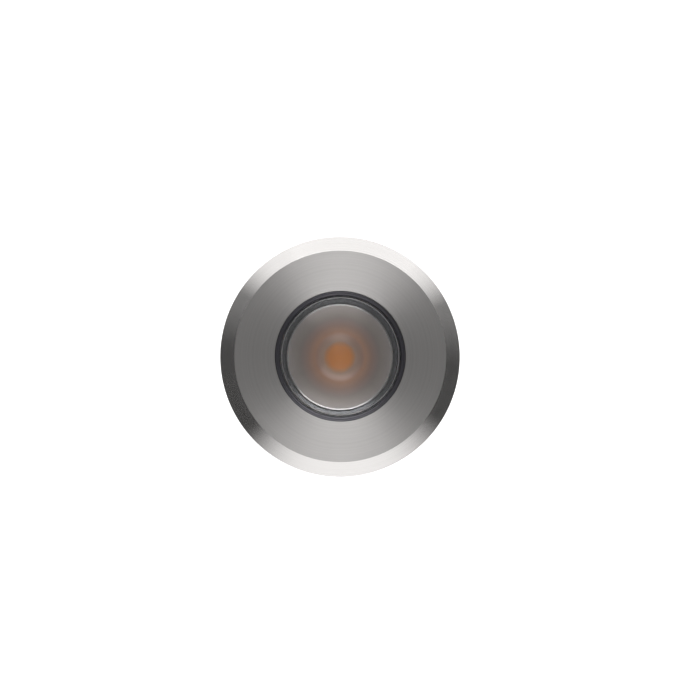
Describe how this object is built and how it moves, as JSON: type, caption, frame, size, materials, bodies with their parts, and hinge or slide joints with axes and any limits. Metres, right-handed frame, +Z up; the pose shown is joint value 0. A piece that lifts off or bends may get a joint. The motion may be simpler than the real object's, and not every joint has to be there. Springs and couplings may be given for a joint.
{
  "type": "in-ground marker light",
  "caption": "Round recessed marker light: a bevelled stainless ring round a frosted lens, a slim black barrel with leaf springs below it, and a cable gland.",
  "frame": {"origin": "on the light's axis, in the plane of the ring's underside, which rests on the paving", "axes": "+Z up along the axis, out of the ground; one leaf spring lies towards +Y"},
  "size_m": [0.045, 0.045, 0.0689],
  "materials": {
    "bezel_steel": "circular brushed stainless, clear",
    "spring_steel": "rolled spring steel, bright",
    "screw_steel": "turned stainless, satin",
    "black_anodised": "fine turned, black anodised",
    "rubber": "matt black silicone",
    "slip_washer": "natural nylon",
    "cover_glass": "polished, toughened",
    "optic_plastic": "clear acrylic with a frosted face",
    "holder_plastic": "black moulded",
    "led_ceramic": "white ceramic",
    "led_phosphor": "silicone dome over orange phosphor",
    "star_board": "white solder mask on aluminium",
    "thermal_pad": "soft grey-blue",
    "circuit_board": "green solder mask",
    "component_black": "moulded epoxy",
    "capacitor_sleeve": "shrunk sleeve",
    "terminal_plastic": "moulded nylon",
    "lead_red": "silicone insulation",
    "lead_black": "silicone insulation",
    "nickel_brass": "nickel-plated"
  },
  "bodies": {
    "housing": {"lens_seal": "rubber", "cover_glass": "cover_glass", "optic": "optic_plastic", "optic_holder": "holder_plastic", "led_dome": "led_phosphor", "led_package": "led_ceramic", "led_board": "star_board", "thermal_pad": "thermal_pad", "board_screw_1": "screw_steel", "board_screw_2": "screw_steel", "led_lead_positive": "lead_red", "led_lead_negative": "lead_black", "barrel": "black_anodised", "neck_seal_ring": "rubber", "spring_screw_1": "screw_steel", "spring_screw_2": "screw_steel", "spring_screw_3": "screw_steel", "driver_spacer_1": "nickel_brass", "driver_spacer_2": "nickel_brass", "driver_spacer_3": "nickel_brass", "driver_screw_1": "screw_steel", "driver_screw_2": "screw_steel", "driver_screw_3": "screw_steel", "driver_board": "circuit_board", "driver_rectifier": "component_black", "driver_coil": "component_black", "driver_capacitor": "capacitor_sleeve", "terminal_block": "terminal_plastic", "end_cap": "black_anodised", "cap_seal_ring": "rubber", "cap_screw_1": "screw_steel", "cap_screw_2": "screw_steel", "cap_screw_3": "screw_steel", "gland_washer": "rubber", "gland_body": "nickel_brass", "gland_seal": "rubber", "gland_nut": "nickel_brass"},
    "slip_ring": {"slip_washer": "slip_washer"},
    "bezel_ring": {"bezel": "bezel_steel"},
    "spring_1": {"leaf_spring_1": "spring_steel"},
    "spring_2": {"leaf_spring_2": "spring_steel"},
    "spring_3": {"leaf_spring_3": "spring_steel"}
  },
  "joints": [
    {"name": "bezel_rise", "type": "slide", "parent": "housing", "child": "slip_ring", "axis": [0, 0, 1], "range_m": [0, 0.006]},
    {"name": "bezel_turn", "type": "hinge", "parent": "slip_ring", "child": "bezel_ring", "pos_m": [0, 0, 0], "axis": [0, 0, 1], "range_deg": [0, 1440]},
    {"name": "spring_press_1", "type": "hinge", "parent": "housing", "child": "spring_1", "pos_m": [0, 0.01575, -0.0374], "axis": [1, 0, 0], "range_deg": [0, 9], "stiffness_Nm_per_rad": 1},
    {"name": "spring_press_2", "type": "hinge", "parent": "housing", "child": "spring_2", "pos_m": [-0.01364, -0.00788, -0.0374], "axis": [-0.5, 0.866, 0], "range_deg": [0, 9], "stiffness_Nm_per_rad": 1},
    {"name": "spring_press_3", "type": "hinge", "parent": "housing", "child": "spring_3", "pos_m": [0.01364, -0.00788, -0.0374], "axis": [-0.5, -0.866, 0], "range_deg": [0, 9], "stiffness_Nm_per_rad": 1}
  ],
  "couplings": [
    {"joint": "bezel_rise", "follows": "bezel_turn", "m_per_rad": 0.00023873}
  ]
}
